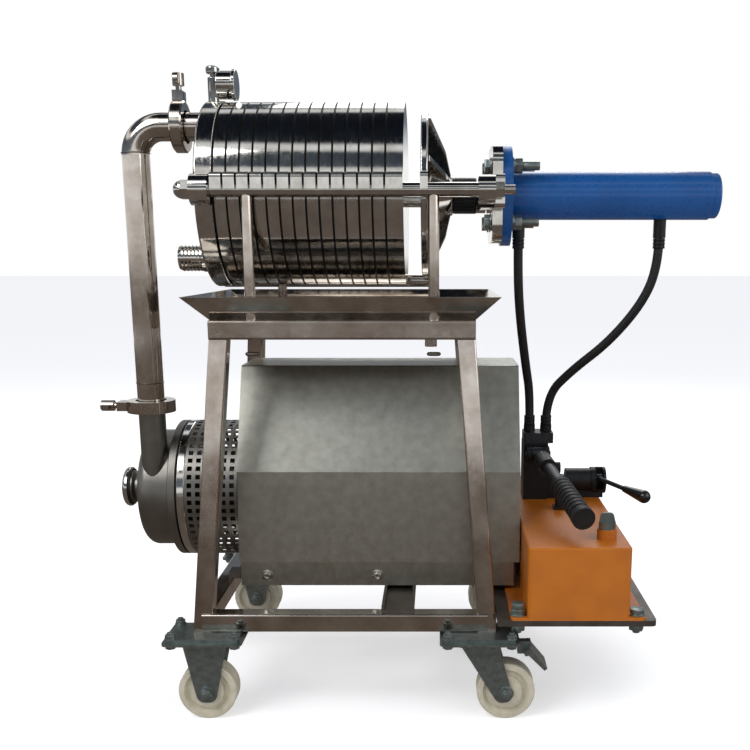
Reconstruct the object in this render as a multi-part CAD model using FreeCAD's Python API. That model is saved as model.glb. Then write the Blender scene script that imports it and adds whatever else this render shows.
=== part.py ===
"""Plate filter press on a castered trolley, with feed pump and hand pump.

Millimetres. +X runs along the tie rods to the ram's cylinder, +Y to the back
and +Z up. The origin is on the floor under the middle of the trolley.
"""

import FreeCAD
import Part
import math
import os

V = FreeCAD.Vector

# Driving dimensions ---------------------------------------------------------

tube = 25.4
base_half_x = 208.0
base_half_y = 192.6
base_top = 148.0
top_half_x = 178.0
top_half_y = 147.7
top_top = 543.0

wheel_radius = 40.0
wheel_width = 30.0
caster_x = 190.0
caster_y = 188.0
swivel_x = 184.0
swivel_trail = 37.0
caster_plate_x = 108.0
caster_plate_y = 80.0
caster_plate_t = 3.2
mount_plate_t = 4.0
tube_corner = 3.0

tray_half_x = 211.0
tray_half_y = 160.0
tray_rim = 574.0
tray_wall = 1.5

axis_z = 711.0
rod_y = 136.0
rod_radius = 9.5
rod_left = -203.0
post_x = 122.0
post_radius = 7.2

plate_radius = 126.0
plate_t = 14.6
gasket_t = 2.8
plate_count = 13
head_left = -193.0
head_t = 24.0
end_t = 22.0

ear_reach = 14.0
ear_height = 22.0

press_gap = 22.5
press_radius = 112.5
press_t = 10.0
ram_radius = 16.0

cross_left = 180.0
cross_t = 22.0
cross_plate_t = 14.5
flange_t = 14.5
flange_radius = 70.0
barrel_radius = 33.5
barrel_length = 285.0

pipe_radius = 19.05
pipe_wall = 1.5
ferrule_radius = 25.25
clamp_radius = 34.5
clamp_width = 17.0
riser_x = -293.0
riser_y = -33.0
port_z = 801.0

pump_y = 30.0
pump_z = 275.0
drum_left = -319.0
drum_length = 51.0
drum_radius = 89.0
ring_radius = 104.0
ring_t = 11.5
guard_length = 77.0
inlet_length = 39.0

cover_left = -160.0
cover_right = 245.5
cover_top = 470.0
cover_bottom = 193.0
cover_skirt = 158.0

tank_left = 247.5
tank_width = 138.0
tank_half_y = 215.0
tank_height = 98.0
shelf_width = 214.0
shelf_t = 8.0
foot_t = 4.0

hole_size = 7.0
hole_pitch = 12.4
hole_rows = 6

hose_radius = 6.75
gap = 0.3

# Derived dimensions ---------------------------------------------------------

base_bottom = base_top - tube
top_bottom = top_top - tube
head_right = head_left + head_t
pack_left = head_right + gasket_t
pitch = plate_t + gasket_t
end_left = head_right + plate_count * pitch + gasket_t
end_right = end_left + end_t
press_left = end_right + press_gap
cross_right = cross_left + cross_t
cross_plate_right = cross_right + cross_plate_t
flange_right = cross_plate_right + flange_t
barrel_right = flange_right + barrel_length
mount_bottom = base_bottom - mount_plate_t
caster_plate_bottom = mount_bottom - caster_plate_t
drum_right = drum_left + drum_length
ring_right = drum_right + 2 * ring_t + 2.5
guard_right = ring_right + guard_length
shelf_left = base_half_x
tank_bottom = base_top + foot_t
tank_top = tank_bottom + tank_height
tank_right = tank_left + tank_width
clamp_right = head_left - 27.0
clamp_left = clamp_right - clamp_width


# Shape helpers --------------------------------------------------------------


def box(x0, x1, y0, y1, z0, z1):
    """Box between two corners."""
    return Part.makeBox(x1 - x0, y1 - y0, z1 - z0, V(x0, y0, z0))


def rod(start, end, radius):
    """Round bar from one point to another."""
    start = V(*start)
    line = V(*end) - start
    return Part.makeCylinder(radius, line.Length, start, line)


def disc_x(x0, x1, radius, y=0.0, z=axis_z):
    """Round bar along X."""
    return rod((x0, y, z), (x1, y, z), radius)


def hexagon(start, end, flats):
    """Hexagonal bar between two points, across its flats."""
    start = V(*start)
    line = V(*end) - start
    reach = flats / math.sqrt(3.0)
    turn = FreeCAD.Rotation(V(0, 0, 1), line)
    corners = []
    for i in range(7):
        angle = math.radians(60.0 * i + 30.0)
        corner = V(reach * math.cos(angle), reach * math.sin(angle), 0)
        corners.append(start + turn.multVec(corner))
    return Part.Face(Part.makePolygon(corners)).extrude(line)


def revolve_x(profile, y, z):
    """Solid of revolution about a line along X, from (x, radius) pairs."""
    points = [V(x, y, z + r) for x, r in profile]
    points.append(points[0])
    face = Part.Face(Part.makePolygon(points))
    return face.revolve(V(0, y, z), V(1, 0, 0), 360)


def revolve_y(profile, x, z):
    """Solid of revolution about a line along Y, from (y, radius) pairs."""
    points = [V(x, y, z + r) for y, r in profile]
    points.append(points[0])
    face = Part.Face(Part.makePolygon(points))
    return face.revolve(V(x, 0, z), V(0, 1, 0), 360)


def revolve_z(profile, x, y):
    """Solid of revolution about a vertical line, from (radius, z) pairs."""
    points = [V(x + r, y, z) for r, z in profile]
    points.append(points[0])
    face = Part.Face(Part.makePolygon(points))
    return face.revolve(V(x, y, 0), V(0, 0, 1), 360)


def prism(points, line):
    """Polygon carried along a vector."""
    corners = [V(*p) for p in points]
    corners.append(corners[0])
    return Part.Face(Part.makePolygon(corners)).extrude(V(*line))


def rounded(points, radii):
    """Closed wire through points, each corner eased by its own radius."""
    points = [V(*p) for p in points]
    edges = []
    starts = []
    ends = []
    for i, corner in enumerate(points):
        radius = radii[i] if isinstance(radii, (list, tuple)) else radii
        if radius == 0:
            starts.append(corner)
            ends.append(corner)
            continue
        u = (points[i - 1] - corner).normalize()
        w = (points[(i + 1) % len(points)] - corner).normalize()
        half = u.getAngle(w) / 2.0
        reach = radius / math.tan(half)
        middle = corner + (u + w).normalize() * (radius / math.sin(half) - radius)
        starts.append(corner + u * reach)
        ends.append(corner + w * reach)
        edges.append(Part.Arc(starts[-1], middle, ends[-1]).toShape())
    for i, end in enumerate(ends):
        start = starts[(i + 1) % len(points)]
        if (start - end).Length > 1e-6:
            edges.append(Part.makeLine(end, start))
    return Part.Wire(Part.__sortEdges__(edges))


def plate(points, radii, line):
    """Plate with eased corners, carried along a vector."""
    return Part.Face(rounded(points, radii)).extrude(V(*line))


def turned(points, radii, start, axis):
    """Solid of revolution of an eased profile."""
    return Part.Face(rounded(points, radii)).revolve(V(*start), V(*axis), 360)


def frustum(half_x0, half_y0, z0, half_x1, half_y1, z1):
    """Four-sided frustum about the Z axis."""
    wires = []
    for hx, hy, z in ((half_x0, half_y0, z0), (half_x1, half_y1, z1)):
        corners = [V(-hx, -hy, z), V(hx, -hy, z), V(hx, hy, z), V(-hx, hy, z)]
        corners.append(corners[0])
        wires.append(Part.makePolygon(corners))
    return Part.makeLoft(wires, True, True)


def mirror_y(shape):
    """The shape's twin on the other side of the middle plane."""
    return shape.mirror(V(0, 0, 0), V(0, 1, 0))


def both_y(shape):
    """A shape and its twin across the middle plane."""
    return Part.makeCompound([shape, mirror_y(shape)])


def both_x(shape):
    """A shape and its twin across the YZ plane."""
    return Part.makeCompound([shape, shape.mirror(V(0, 0, 0), V(1, 0, 0))])


def save(node, shape):
    """Write one node."""
    shape.exportStep("parts/" + node + ".step")
    print(node, len(shape.Solids), round(shape.Volume / 1000.0, 1), "cm3")


def tube_path(points, radius):
    """Plain tube of straight runs joined by tangent arcs."""
    points = [V(*p) for p in points]
    edges = []
    radii = []
    length = 0.0
    last = points[0]
    for before, corner, after in zip(points, points[1:], points[2:]):
        u = (before - corner).normalize()
        w = (after - corner).normalize()
        half = (math.pi - u.getAngle(w)) / 2.0
        run = min((before - corner).Length, (after - corner).Length)
        reach = 0.45 * run
        radii.append(reach / math.tan(half))
        p0 = corner + u * reach
        p1 = corner + w * reach
        bisector = (u + w).normalize()
        middle = corner + bisector * (radii[-1] / math.cos(half) - radii[-1])
        edges.append(Part.makeLine(last, p0))
        edges.append(Part.Arc(p0, middle, p1).toShape())
        last = p1
    edges.append(Part.makeLine(last, points[-1]))
    wire = Part.Wire(edges)
    circle = Part.makeCircle(radius, points[0], points[1] - points[0])
    pipe = wire.makePipeShell([Part.Wire(circle)], True, True)
    section = math.pi * radius * radius
    print("cord", round(wire.Length, 1), "radii", [round(r) for r in radii])
    print("volume ratio", round(pipe.Volume / (section * wire.Length), 4))
    return pipe


os.makedirs("parts", exist_ok=True)

# Trolley --------------------------------------------------------------------


def square(x1, y1, z):
    """Tube's eased outline, with its outer corner at x1, y1."""
    points = [(x1, y1, z), (x1 - tube, y1, z), (x1 - tube, y1 - tube, z), (x1, y1 - tube, z)]
    return rounded(points, tube_corner)


def rail_x(x0, x1, y0, z0):
    """Square tube along X from its lowest corner."""
    points = [(x0, y0, z0), (x0, y0 + tube, z0), (x0, y0 + tube, z0 + tube), (x0, y0, z0 + tube)]
    return plate(points, tube_corner, (x1 - x0, 0, 0))


def rail_y(x0, y0, y1, z0):
    """Square tube along Y from its lowest corner."""
    points = [(x0, y0, z0), (x0 + tube, y0, z0), (x0 + tube, y0, z0 + tube), (x0, y0, z0 + tube)]
    return plate(points, tube_corner, (0, y1 - y0, 0))


def four(shape):
    """A shape repeated at the four corners of the trolley."""
    return both_y(shape).fuse(both_y(shape).mirror(V(0, 0, 0), V(1, 0, 0)))


leg = Part.makeLoft([square(base_half_x, base_half_y, base_bottom), square(top_half_x, top_half_y, top_bottom)], True)
legs = four(leg)
save("legs", legs)

middle = base_half_x - tube / 2.0
rail = rail_x(-middle, middle, -base_half_y, base_bottom)
base_rails = both_y(rail).cut(legs)
save("base_long_rails", base_rails)
middle = base_half_y - tube / 2.0
rail = rail_y(base_half_x - tube, -middle, middle, base_bottom)
save("base_cross_rails", both_x(rail).cut(legs).cut(base_rails))

rail = rail_x(-top_half_x, top_half_x, -top_half_y, top_bottom)
long_rails = both_y(rail)
save("top_long_rails", long_rails)
middle = top_half_y - tube / 2.0
rail = rail_y(top_half_x - tube, -middle, middle, top_bottom)
save("top_cross_rails", both_x(rail).cut(long_rails))

channel_x = 50.0
channel_w = 45.0
channel = box(channel_x, channel_x + channel_w, -base_half_y + 8, base_half_y - 8, base_top, cover_skirt)
hollow = box(channel_x + 4, channel_x + channel_w - 4, -base_half_y, base_half_y, base_top + 4, cover_skirt + 1)
bearers = [channel.cut(hollow)]
for y in (pump_y - 70, pump_y + 45):
    bar = box(-base_half_x + 18, base_half_x, y, y + 25, base_top, cover_skirt)
    bearers.append(bar.cut(box(channel_x, channel_x + channel_w, y - 1, y + 26, base_top - 1, cover_skirt + 1)))
save("motor_bearers", Part.makeCompound(bearers))

corner = [
    (shelf_left, -tank_half_y, base_top - shelf_t),
    (shelf_left, tank_half_y, base_top - shelf_t),
    (shelf_left + shelf_width, tank_half_y, base_top - shelf_t),
    (shelf_left + shelf_width, -tank_half_y, base_top - shelf_t),
]
save("pump_shelf", plate(corner, [0, 0, 8, 8], (0, 0, shelf_t)))

# Rods, posts and drip tray --------------------------------------------------

cross_boss_right = cross_right
rods = rod((rod_left, -rod_y, axis_z), (cross_boss_right, -rod_y, axis_z), rod_radius)
stud = rod((cross_boss_right, -rod_y, axis_z), (cross_boss_right + 26, -rod_y, axis_z), 6.0)
save("tie_rods", both_y(rods.fuse(stud).removeSplitter()))

posts = []
for x in (-post_x, post_x):
    post = rod((x, -rod_y, top_top), (x, -rod_y, axis_z), post_radius)
    seat = rod((x - 20, -rod_y, axis_z), (x + 20, -rod_y, axis_z), rod_radius + 0.2)
    posts.append(both_y(post.cut(seat)))
save("rod_posts", Part.makeCompound(posts))

outer = frustum(top_half_x, 135.0, top_top, tray_half_x, tray_half_y, tray_rim)
slope = (tray_half_x - top_half_x) / (tray_rim - top_top)
slope_y = (tray_half_y - 135.0) / (tray_rim - top_top)
inner = frustum(
    top_half_x - tray_wall * 1.2 + slope * tray_wall,
    135.0 - tray_wall * 1.2 + slope_y * tray_wall,
    top_top + tray_wall,
    tray_half_x - tray_wall * 1.2 + slope * 1.0,
    tray_half_y - tray_wall * 1.2 + slope_y * 1.0,
    tray_rim + 1.0,
)
tray = outer.cut(inner)
for x in (-post_x, post_x):
    hole = rod((x, -rod_y, top_top - 1), (x, -rod_y, tray_rim + 1), post_radius + gap)
    tray = tray.cut(both_y(hole))
drain_x = 117.0
spout = rod((drain_x, 0, top_top), (drain_x, 0, top_bottom - 22), 9.0)
tray = tray.fuse(spout).cut(rod((drain_x, 0, top_top + 5), (drain_x, 0, top_bottom - 23), 7.0))
save("drip_tray", tray.removeSplitter())

# Head plate, pack and end plate ---------------------------------------------


def on_rods(shape, x0, x1):
    """Shape with clearance cut for both tie rods."""
    return shape.cut(both_y(disc_x(x0 - 1, x1 + 1, rod_radius + gap, -rod_y)))


def ears(x0, x1):
    """Pair of lugs that hang a plate on the tie rods."""
    y1 = -rod_y - ear_reach
    points = [
        (x0, y1, axis_z + 0.5),
        (x0, y1, axis_z + ear_height),
        (x0, -plate_radius + 22, axis_z + ear_height),
        (x0, -plate_radius + 22, axis_z + 0.5),
    ]
    return both_y(plate(points, [0, 7, 0, 0], (x1 - x0, 0, 0)))


def hung(x0, x1, radius):
    """Round plate hung on the tie rods by its lugs."""
    return on_rods(disc_x(x0, x1, radius).fuse(ears(x0, x1)), x0, x1).removeSplitter()


rim = 3.0
profile = [
    (head_left, 0, axis_z),
    (head_left, 0, axis_z + plate_radius + 1.5),
    (head_right, 0, axis_z + plate_radius + 1.5),
    (head_right, 0, axis_z),
]
head = turned(profile, [0, rim, 1.0, 0], (0, 0, axis_z), (1, 0, 0))
head = head.fuse(both_y(disc_x(head_left, head_right, 20.0, -rod_y)))
outlet_y = -60.0
outlet_z = 624.0
outlet_bore = 12.0
port_hole = disc_x(head_left - 1, head_right + 1, pipe_radius - pipe_wall, riser_y, port_z)
head = on_rods(head, head_left, head_right).cut(port_hole)
head = head.cut(disc_x(head_left - 1, head_left + 12, outlet_bore, outlet_y, outlet_z))
save("head_plate", head.removeSplitter())

thread = [(head_left, outlet_bore), (head_left, 19.0), (head_left - 5, 19.0)]
for i in range(6):
    x = head_left - 6.0 - 5.0 * i
    thread.append((x, 17.0))
    thread.append((x - 2.5, 18.2))
    thread.append((x - 4.9, 17.0))
thread.append((head_left - 38.5, 16.0))
thread.append((head_left - 38.5, outlet_bore))
save("outlet_nozzle", revolve_x(thread, outlet_y, outlet_z))

vent_x = head_left + 5.0
vent_base = axis_z + math.sqrt((plate_radius + 1.5) ** 2 - 7.5 ** 2) - 0.2
vent = [
    (vent_x, 0, vent_base - 2),
    (vent_x + 7.5, 0, vent_base - 2),
    (vent_x + 7.5, 0, vent_base + 33),
    (vent_x + 4, 0, vent_base + 33),
    (vent_x + 4, 0, vent_base + 38),
    (vent_x + 9.5, 0, vent_base + 38),
    (vent_x + 9.5, 0, vent_base + 48),
    (vent_x, 0, vent_base + 48),
]
valve = turned(vent, [0, 0, 1, 0, 0, 2, 3, 0], (vent_x, 0, 0), (0, 0, 1))
barrel_z = axis_z + plate_radius + 24.0
profile = [
    (vent_x + 6, 0, barrel_z),
    (vent_x + 6, 0, barrel_z + 19),
    (vent_x + 28, 0, barrel_z + 19),
    (vent_x + 28, 0, barrel_z + 21),
    (vent_x + 33, 0, barrel_z + 21),
    (vent_x + 33, 0, barrel_z),
]
valve = valve.fuse(turned(profile, [0, 2, 0, 1, 1, 0], (0, 0, barrel_z), (1, 0, 0)))
valve = valve.cut(disc_x(head_left - 1, head_right + 1, plate_radius + 1.5))
save("vent_valve", valve.removeSplitter())

plates = []
seals = [disc_x(head_right, head_right + gasket_t, plate_radius - 5)]
for i in range(plate_count):
    x = pack_left + i * pitch
    plates.append(hung(x, x + plate_t, plate_radius))
    seals.append(disc_x(x + plate_t, x + pitch, plate_radius - 5))
save("filter_plates", Part.makeCompound(plates))
save("plate_gaskets", Part.makeCompound(seals))
save("end_plate", hung(end_left, end_right, plate_radius))

bar_radius = 10.0
bar_z = 588.0
bar = rod((head_left - 20, rod_y, bar_z), (post_x - 7, rod_y, bar_z), bar_radius)
for x in (-post_x, post_x):
    bar = bar.cut(rod((x, rod_y, top_top), (x, rod_y, axis_z), post_radius + 0.05))
save("back_bar", bar)

nuts = []
for y in (-rod_y, rod_y):
    cap = hexagon((head_left - 12, y, axis_z), (head_left, y, axis_z), 24.0)
    dome = [
        (head_left - 12, y, axis_z),
        (head_left - 12, y, axis_z + 11.5),
        (head_left - 23.5, y, axis_z + 11.5),
        (head_left - 23.5, y, axis_z),
    ]
    dome = turned(dome, [0, 0, 11.3, 0], (0, y, axis_z), (1, 0, 0))
    nuts.append(cap.fuse(dome).cut(rod((rod_left - 1, y, axis_z), (head_left, y, axis_z), rod_radius)))
    nut = hexagon((cross_right, y, axis_z), (cross_right + 12, y, axis_z), 19.0)
    nuts.append(nut.cut(disc_x(cross_right - 1, cross_right + 13, 6.0, y)))
save("rod_nuts", Part.makeCompound(nuts))

# Crosshead and cylinder -----------------------------------------------------

plate_left = cross_right + 0.5
square_plate = [
    (plate_left, -66.0, axis_z - 66),
    (plate_left, 66.0, axis_z - 66),
    (plate_left, 66.0, axis_z + 66),
    (plate_left, -66.0, axis_z + 66),
]
cross = plate(square_plate, 24, (cross_plate_right - plate_left, 0, 0))
wing = [
    (plate_left, -112.0, axis_z - 22),
    (plate_left, 112.0, axis_z - 22),
    (plate_left, 112.0, axis_z + 22),
    (plate_left, -112.0, axis_z + 22),
]
cross = cross.fuse(plate(wing, 6, (cross_plate_right - plate_left, 0, 0)))
boss = disc_x(cross_left, cross_right, 18.5, -rod_y)
web = [
    (cross_left + 5, -rod_y + 6, axis_z - 15),
    (cross_right - 0.1, -rod_y + 6, axis_z - 15),
    (cross_right - 0.1, -112.0, axis_z - 15),
    (plate_left + 1, -112.0, axis_z - 15),
    (plate_left + 1, -78.0, axis_z - 15),
]
cross = cross.fuse(both_y(boss.fuse(prism(web, (0, 0, 30)))))
cross = on_rods(cross, cross_left, cross_right)
cross = cross.cut(disc_x(cross_left, cross_plate_right + 1, ram_radius + 2))
bolt_circle = 38.0
for y in (-bolt_circle, bolt_circle):
    for z in (-bolt_circle, bolt_circle):
        cross = cross.cut(disc_x(plate_left - 1, cross_plate_right + 1, 6.5, y, axis_z + z))
save("crosshead", cross.removeSplitter())

flange = disc_x(cross_plate_right, flange_right, flange_radius)
flange = flange.cut(disc_x(cross_plate_right - 1, flange_right + 1, ram_radius + 0.08))
for y in (-bolt_circle, bolt_circle):
    for z in (-bolt_circle, bolt_circle):
        flange = flange.cut(disc_x(cross_plate_right - 1, flange_right + 1, 6.5, y, axis_z + z))
save("cylinder_flange", flange)

profile = [
    (flange_right, 0, axis_z),
    (flange_right, 0, axis_z + barrel_radius),
    (barrel_right, 0, axis_z + barrel_radius),
    (barrel_right, 0, axis_z + barrel_radius - 2),
    (barrel_right + 12, 0, axis_z + barrel_radius - 2),
    (barrel_right + 12, 0, axis_z),
]
barrel = turned(profile, [0, 0, 1, 0, 3, 0], (0, 0, axis_z), (1, 0, 0))
barrel = barrel.cut(disc_x(flange_right, barrel_right - 12, barrel_radius - 6))
save("cylinder_barrel", barrel.removeSplitter())

# Press plate and ram --------------------------------------------------------

profile = [
    (press_left, 0, axis_z),
    (press_left, 0, axis_z + press_radius),
    (press_left + press_t, 0, axis_z + press_radius),
    (press_left + press_t, 0, axis_z + 42),
    (press_left + 44, 0, axis_z + 27),
    (press_left + 44, 0, axis_z),
]
press = turned(profile, [0, 1.5, 3, 8, 2, 0], (0, 0, axis_z), (1, 0, 0))
rib_count = 8
rib_t = 8.0
ribs = []
for i in range(rib_count):
    points = [
        (press_left + press_t - 1, -rib_t / 2, axis_z + 22),
        (press_left + press_t - 1, -rib_t / 2, axis_z + press_radius - 2),
        (press_left + press_t + 2, -rib_t / 2, axis_z + press_radius - 2),
        (press_left + 34, -rib_t / 2, axis_z + 62),
        (press_left + 43, -rib_t / 2, axis_z + 22),
    ]
    rib = plate(points, [0, 0, 2, 40, 0], (0, rib_t, 0))
    ribs.append(rib.rotate(V(press_left, 0, axis_z), V(1, 0, 0), 360.0 / rib_count * (i + 0.5)))
press = press.fuse(ribs)
arm = [
    (press_left, -rod_y - ear_reach, axis_z + 0.5),
    (press_left, -rod_y - ear_reach, axis_z + ear_height),
    (press_left, -98.0, axis_z + ear_height + 8),
    (press_left, -98.0, axis_z + 0.5),
]
press = press.fuse(both_y(plate(arm, [0, 7, 0, 0], (press_t, 0, 0))))
press = on_rods(press, press_left, press_left + press_t)
save("press_plate", press.removeSplitter())

hub_right = press_left + 44 + 34
profile = [(press_left + 44, 0, axis_z), (press_left + 44, 0, axis_z + 25)]
profile += [(hub_right, 0, axis_z + 25), (hub_right, 0, axis_z)]
ram = turned(profile, [0, 2, 2, 0], (0, 0, axis_z), (1, 0, 0))
flutes = []
for i in range(24):
    flute = disc_x(press_left + 47, hub_right - 3, 1.6, 0, axis_z + 25.4)
    flutes.append(flute.rotate(V(0, 0, axis_z), V(1, 0, 0), 15.0 * i))
ram = ram.cut(flutes)
ram = ram.fuse(disc_x(hub_right, flange_right + 100, ram_radius))
ram = ram.fuse(disc_x(flange_right + 100, flange_right + 124, barrel_radius - 6.1))
save("ram", ram.removeSplitter())

# Riser and clamps -----------------------------------------------------------


def ferrule_x(x0, x1, y, z):
    """Flared end of a sanitary tube, its flat face at x0."""
    out = 1 if x1 > x0 else -1
    profile = [
        (x0, 0),
        (x0, ferrule_radius),
        (x0 + out * 2.8, ferrule_radius),
        (x0 + out * 6.4, pipe_radius),
        (x1, pipe_radius),
        (x1, 0),
    ]
    return revolve_x(profile, y, z)


clamp_mid = (clamp_left + clamp_right) / 2.0
stub = ferrule_x(clamp_mid + 0.2, head_left, riser_y, port_z)
stub = stub.cut(disc_x(clamp_mid - 5, head_left + 5, pipe_radius - pipe_wall, riser_y, port_z))
save("feed_stub", stub)

low_z = 412.0
bend = 38.0
path = [
    V(riser_x, riser_y, low_z + 0.2),
    V(riser_x, riser_y, port_z - bend),
    V(clamp_mid - 0.2, riser_y, port_z),
]
corner = bend * (1 - math.sqrt(0.5))
arc = Part.Arc(
    path[1],
    V(riser_x + corner, riser_y, port_z - corner),
    V(riser_x + bend, riser_y, port_z),
).toShape()
spine = Part.Wire([
    Part.makeLine(path[0], path[1]),
    arc,
    Part.makeLine(V(riser_x + bend, riser_y, port_z), path[2]),
])


def sweep(radius):
    """Round section carried along the riser's centre line."""
    circle = Part.Wire(Part.makeCircle(radius, path[0], V(0, 0, 1)))
    return spine.makePipeShell([circle], True, True)


collar = [
    (0, low_z + 0.2),
    (ferrule_radius, low_z + 0.2),
    (ferrule_radius, low_z + 3.0),
    (pipe_radius, low_z + 6.6),
    (0, low_z + 6.6),
]
riser = sweep(pipe_radius).fuse(revolve_z(collar, riser_x, riser_y))
riser = riser.fuse(ferrule_x(clamp_mid - 0.2, clamp_mid - 12, riser_y, port_z))
riser = riser.cut(sweep(pipe_radius - pipe_wall))
save("riser_pipe", riser.removeSplitter())

ring = revolve_x(
    [
        (clamp_left, ferrule_radius - 3),
        (clamp_left, clamp_radius - 2),
        (clamp_left + 2, clamp_radius),
        (clamp_right - 2, clamp_radius),
        (clamp_right, clamp_radius - 2),
        (clamp_right, ferrule_radius - 3),
        (clamp_mid + 3.2, ferrule_radius + 0.3),
        (clamp_mid - 3.2, ferrule_radius + 0.3),
    ],
    riser_y,
    port_z,
)
lugs = box(clamp_left + 2, clamp_right - 2, riser_y - 13, riser_y + 13, port_z + clamp_radius - 2, port_z + 47)
lugs = lugs.cut(box(clamp_left, clamp_right, riser_y - 1.2, riser_y + 1.2, port_z + clamp_radius + 0.4, port_z + 48))
stem = rod((clamp_mid, riser_y, port_z + 46), (clamp_mid, riser_y, port_z + 58), 4.0)
wing = [
    (clamp_mid - 3, riser_y - 20, port_z + 56),
    (clamp_mid - 3, riser_y + 20, port_z + 56),
    (clamp_mid - 3, riser_y + 16, port_z + 70),
    (clamp_mid - 3, riser_y - 16, port_z + 70),
]
wing = plate(wing, [5, 5, 9, 9], (6, 0, 0))
hub = rod((clamp_mid, riser_y, port_z + 54), (clamp_mid, riser_y, port_z + 70), 8.0)
top_clamp = ring.fuse([lugs, stem, wing, hub])

ring = revolve_z(
    [
        (ferrule_radius - 3, low_z - clamp_width / 2),
        (clamp_radius, low_z - clamp_width / 2),
        (clamp_radius, low_z + clamp_width / 2),
        (ferrule_radius - 3, low_z + clamp_width / 2),
        (ferrule_radius + 0.3, low_z + 3.2),
        (ferrule_radius + 0.3, low_z - 3.2),
    ],
    riser_x,
    riser_y,
)
lug_x = riser_x - clamp_radius
lugs = box(lug_x - 13, lug_x + 2, riser_y - 13, riser_y + 13, low_z - clamp_width / 2 + 2, low_z + clamp_width / 2 - 2)
lugs = lugs.cut(box(lug_x - 14, lug_x - 0.4, riser_y - 1.2, riser_y + 1.2, low_z - 9, low_z + 9))
stem = rod((lug_x - 12, riser_y, low_z), (lug_x - 24, riser_y, low_z), 4.0)
hub = rod((lug_x - 20, riser_y, low_z), (lug_x - 38, riser_y, low_z), 8.0)
wing = [
    (lug_x - 22, riser_y - 20, low_z - 3),
    (lug_x - 22, riser_y + 20, low_z - 3),
    (lug_x - 37, riser_y + 16, low_z - 3),
    (lug_x - 37, riser_y - 16, low_z - 3),
]
wing = plate(wing, [5, 5, 7, 7], (0, 0, 6))
low_clamp = ring.fuse([lugs, stem, hub, wing])
save("pipe_clamps", Part.makeCompound([top_clamp.removeSplitter(), low_clamp.removeSplitter()]))

# Feed pump ------------------------------------------------------------------

profile = [
    (drum_left, pump_y, pump_z),
    (drum_left, pump_y, pump_z + drum_radius),
    (drum_right, pump_y, pump_z + drum_radius),
    (drum_right, pump_y, pump_z + ring_radius),
    (drum_right + ring_t, pump_y, pump_z + ring_radius),
    (drum_right + ring_t, pump_y, pump_z),
]
casing = turned(profile, [0, 16, 5, 2, 0.5, 0], (0, pump_y, pump_z), (1, 0, 0))
casing = casing.fuse(ferrule_x(drum_left - inlet_length + 11.3, drum_left, pump_y, pump_z))
save("pump_casing", casing.removeSplitter())

collar = [
    (0, low_z - 0.2),
    (ferrule_radius, low_z - 0.2),
    (ferrule_radius, low_z - 3.0),
    (pipe_radius, low_z - 6.6),
    (pipe_radius, pump_z + 10),
    (0, pump_z + 10),
]
outlet = revolve_z(collar, riser_x, riser_y)
outlet = outlet.cut(turned(profile, [0, 16, 5, 2, 0.5, 0], (0, pump_y, pump_z), (1, 0, 0)))
outlet = max(outlet.Solids, key=lambda solid: solid.Volume)
save("pump_outlet", outlet)

seal_x = drum_right + ring_t
seal = disc_x(seal_x, seal_x + 2.5, ring_radius - 4, pump_y, pump_z)
face_x = drum_left - inlet_length + 11.3
seal_ring = disc_x(face_x - 2.3, face_x, ferrule_radius + 3, pump_y, pump_z)
save("casing_seal", Part.makeCompound([seal, seal_ring]))
profile = [
    (seal_x + 2.5, pump_y, pump_z),
    (seal_x + 2.5, pump_y, pump_z + ring_radius),
    (ring_right, pump_y, pump_z + ring_radius),
    (ring_right, pump_y, pump_z),
]
save("back_plate", turned(profile, [0, 1, 2, 0], (0, pump_y, pump_z), (1, 0, 0)))

guard = disc_x(ring_right, guard_right, ring_radius, pump_y, pump_z)
guard = guard.cut(disc_x(ring_right - 1, guard_right + 1, ring_radius - 1.5, pump_y, pump_z))
hole_columns = 2 * round(math.pi * ring_radius / hole_pitch)
first_hole = (ring_right + guard_right - (hole_rows - 1) * hole_pitch) / 2.0
holes = []
for row in range(hole_rows):
    x = first_hole + row * hole_pitch
    top_z = pump_z + ring_radius
    hole = box(x - hole_size / 2, x + hole_size / 2, pump_y - hole_size / 2, pump_y + hole_size / 2, top_z - 5, top_z + 2)
    for column in range(hole_columns):
        turn = 360.0 / hole_columns * column
        holes.append(hole.copy().rotate(V(x, pump_y, pump_z), V(1, 0, 0), turn))
save("motor_guard", guard.cut(Part.makeCompound(holes)))
save("pump_adapter", disc_x(ring_right, cover_left, 60.0, pump_y, pump_z))

profile = [
    (drum_left - inlet_length, pump_y, pump_z),
    (drum_left - inlet_length, pump_y, pump_z + 30.5),
    (face_x - 2.3, pump_y, pump_z + 30.5),
    (face_x - 2.3, pump_y, pump_z),
]
save("inlet_cap", turned(profile, [0, 6, 1, 0], (0, pump_y, pump_z), (1, 0, 0)))

half_base = base_half_y - tube - pump_y - 7.2
half_knee = half_base - 8.0
half_top = half_base - 74.0
knee_z = 325.0
back_set = 20.0
section = [
    (cover_left, pump_y - half_base, cover_bottom),
    (cover_left, pump_y - half_knee, knee_z),
    (cover_left, pump_y - half_top, cover_top),
    (cover_left, pump_y + half_top, cover_top),
    (cover_left, pump_y + half_knee - back_set, knee_z),
    (cover_left, pump_y + half_base - back_set, cover_bottom),
]
save("motor_cover", plate(section, [0, 2, 3, 3, 2, 0], (cover_right - cover_left, 0, 0)))
back_y = pump_y + half_base - back_set
skirt = box(cover_left + 2, cover_right - 8, pump_y - half_base, back_y, cover_skirt, cover_bottom)
save("cover_base", skirt)

# Hand pump ------------------------------------------------------------------

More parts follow.
